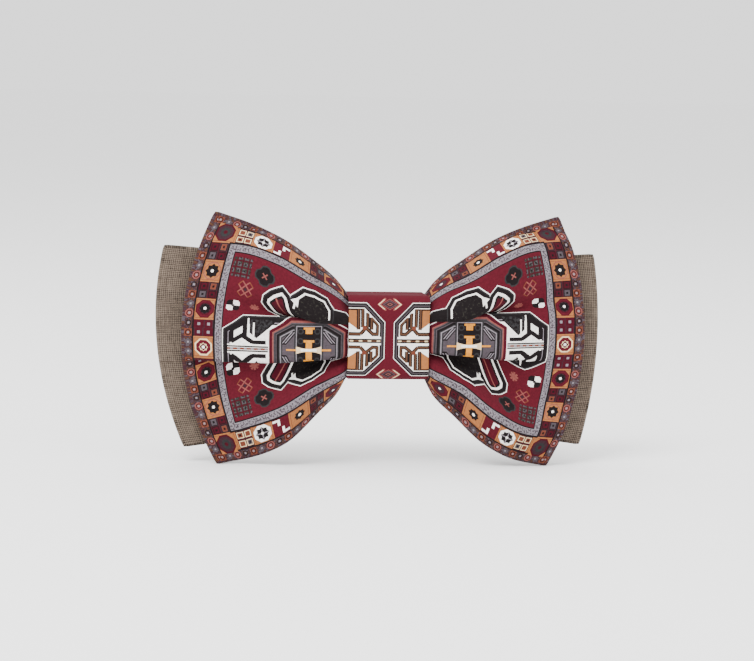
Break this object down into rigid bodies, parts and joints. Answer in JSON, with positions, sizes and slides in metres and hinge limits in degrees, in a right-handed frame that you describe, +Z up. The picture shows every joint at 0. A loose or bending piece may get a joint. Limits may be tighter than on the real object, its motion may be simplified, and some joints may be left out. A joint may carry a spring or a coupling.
{
  "type": "bow tie",
  "caption": "Pre-tied layered bow tie: patterned pleated bow over a wider plain linen bow, wrapped knot, and an adjustable neckband with hook and eye folded behind.",
  "frame": {"origin": "middle of the neckband's flat outer face, straight behind the middle of the knot", "axes": "+X along the bow to the right as seen from the front, +Y from the front to the back (towards the wearer), +Z up"},
  "size_m": [0.1252, 0.0262, 0.07],
  "materials": {
    "printed_cotton": "fine plain-weave cotton with a rug-like geometric print",
    "taupe_linen": "coarse plain-weave linen",
    "interlining": "stiff non-woven",
    "sewing_thread": "twisted polyester thread",
    "fitting_metal": "nickel-plated stamped steel"
  },
  "bodies": {
    "bow": {"print_bow_face": "printed_cotton", "print_bow_interlining": "interlining", "print_bow_backing": "printed_cotton", "linen_bow_face": "taupe_linen", "linen_bow_interlining": "interlining", "linen_bow_backing": "taupe_linen", "knot_wrap": "printed_cotton", "knot_wrap_lining": "interlining", "waist_thread": "sewing_thread", "knot_stitch_1": "sewing_thread", "knot_stitch_2": "sewing_thread", "knot_stitch_3": "sewing_thread", "knot_stitch_4": "sewing_thread", "knot_stitch_5": "sewing_thread"},
    "band": {"neckband": "taupe_linen", "neckband_return": "taupe_linen", "eye_bartack": "sewing_thread"},
    "adjuster": {"adjuster_slide": "fitting_metal", "neckband_end_loop": "taupe_linen", "slide_bartack": "sewing_thread"},
    "hook": {"hook": "fitting_metal"},
    "eye": {"eye": "fitting_metal"}
  },
  "joints": [
    {"name": "band_through_knot", "type": "slide", "parent": "bow", "child": "band", "axis": [1, 0, 0], "range_m": [-0.008, 0.008]},
    {"name": "adjuster_travel", "type": "slide", "parent": "band", "child": "adjuster", "axis": [1, 0, 0], "range_m": [0, 0.024], "deforming": ["neckband_return"]},
    {"name": "hook_swing", "type": "hinge", "parent": "band", "child": "hook", "pos_m": [0.007, -0.0022, 0], "axis": [0, 0, 1], "range_deg": [0, 35]},
    {"name": "eye_swing", "type": "hinge", "parent": "band", "child": "eye", "pos_m": [0.02925, -0.0022, 0], "axis": [0, 0, 1], "range_deg": [0, 8]}
  ]
}
